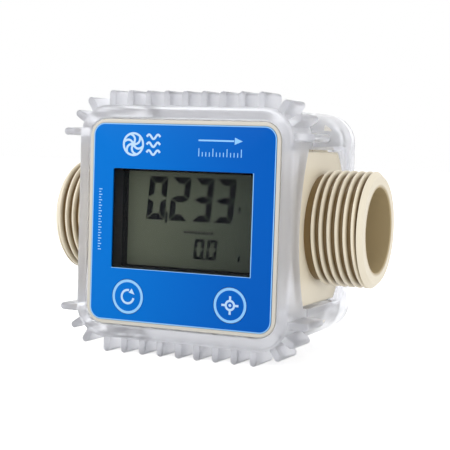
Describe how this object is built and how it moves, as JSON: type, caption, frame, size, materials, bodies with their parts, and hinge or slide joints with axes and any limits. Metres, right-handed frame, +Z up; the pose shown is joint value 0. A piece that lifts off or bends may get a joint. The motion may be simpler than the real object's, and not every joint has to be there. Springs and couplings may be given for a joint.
{
  "type": "turbine flow meter",
  "caption": "In-line turbine flow meter with male threaded ports, digital display, two keys and a clear finned rubber jacket.",
  "frame": {"origin": "on the flow axis, midway between the two port faces and between the jacket's front and back", "axes": "+X along the flow from inlet to outlet, the display faces -Y, +Z up"},
  "size_m": [0.097, 0.058, 0.0748],
  "materials": {
    "body_plastic": "moulded cream nylon, fine satin",
    "seal_rubber": "matt black",
    "label_print": "blue printed polycarbonate sheet",
    "lens_clear": "clear polished sheet",
    "frame_black": "black moulded",
    "display_glass": "grey-green liquid crystal glass",
    "strip_rubber": "pale elastomer",
    "board_green": "solder resist",
    "chip_black": "moulded epoxy",
    "switch_black": "moulded",
    "reed_glass": "glass capsule",
    "steel": "stainless",
    "cell_jacket": "plain printed film on steel",
    "contact_metal": "nickel plated spring strip",
    "rotor_plastic": "white acetal",
    "magnet_metal": "nickel plated magnet",
    "bush_brass": "turned",
    "jacket_clear": "clear soft elastomer, glossy, slightly frosted"
  },
  "bodies": {
    "meter": {"main_body": "body_plastic", "front_cover": "body_plastic", "cover_gasket": "seal_rubber", "label": "label_print", "window_lens": "lens_clear", "display_frame": "frame_black", "lcd_panel": "display_glass", "connector_strips": "strip_rubber", "circuit_board": "board_green", "board_parts": "chip_black", "key_switches": "switch_black", "reed_switches": "reed_glass", "cover_screws": "steel", "upper_battery": "cell_jacket", "lower_battery": "cell_jacket", "upper_end_contact": "contact_metal", "lower_end_contact": "contact_metal", "upper_spring_contact": "contact_metal", "lower_spring_contact": "contact_metal", "upper_battery_cap": "body_plastic", "lower_battery_cap": "body_plastic", "upper_cap_seal": "seal_rubber", "lower_cap_seal": "seal_rubber", "rotor_shaft": "steel", "inlet_support": "body_plastic", "outlet_support": "body_plastic", "retaining_ring": "steel", "jacket": "jacket_clear"},
    "turbine": {"rotor": "rotor_plastic", "rotor_magnets": "magnet_metal", "rotor_bushes": "bush_brass"},
    "reset_button": {"reset_key": "label_print", "reset_plunger": "frame_black"},
    "cal_button": {"cal_key": "label_print", "cal_plunger": "frame_black"}
  },
  "joints": [
    {"name": "turbine_spin", "type": "hinge", "parent": "meter", "child": "turbine", "pos_m": [0, 0, 0], "axis": [1, 0, 0], "continuous": true},
    {"name": "reset_press", "type": "slide", "parent": "meter", "child": "reset_button", "axis": [0, 1, 0], "range_m": [0, 0.0005], "stiffness_N_per_m": 3000},
    {"name": "cal_press", "type": "slide", "parent": "meter", "child": "cal_button", "axis": [0, 1, 0], "range_m": [0, 0.0005], "stiffness_N_per_m": 3000}
  ]
}
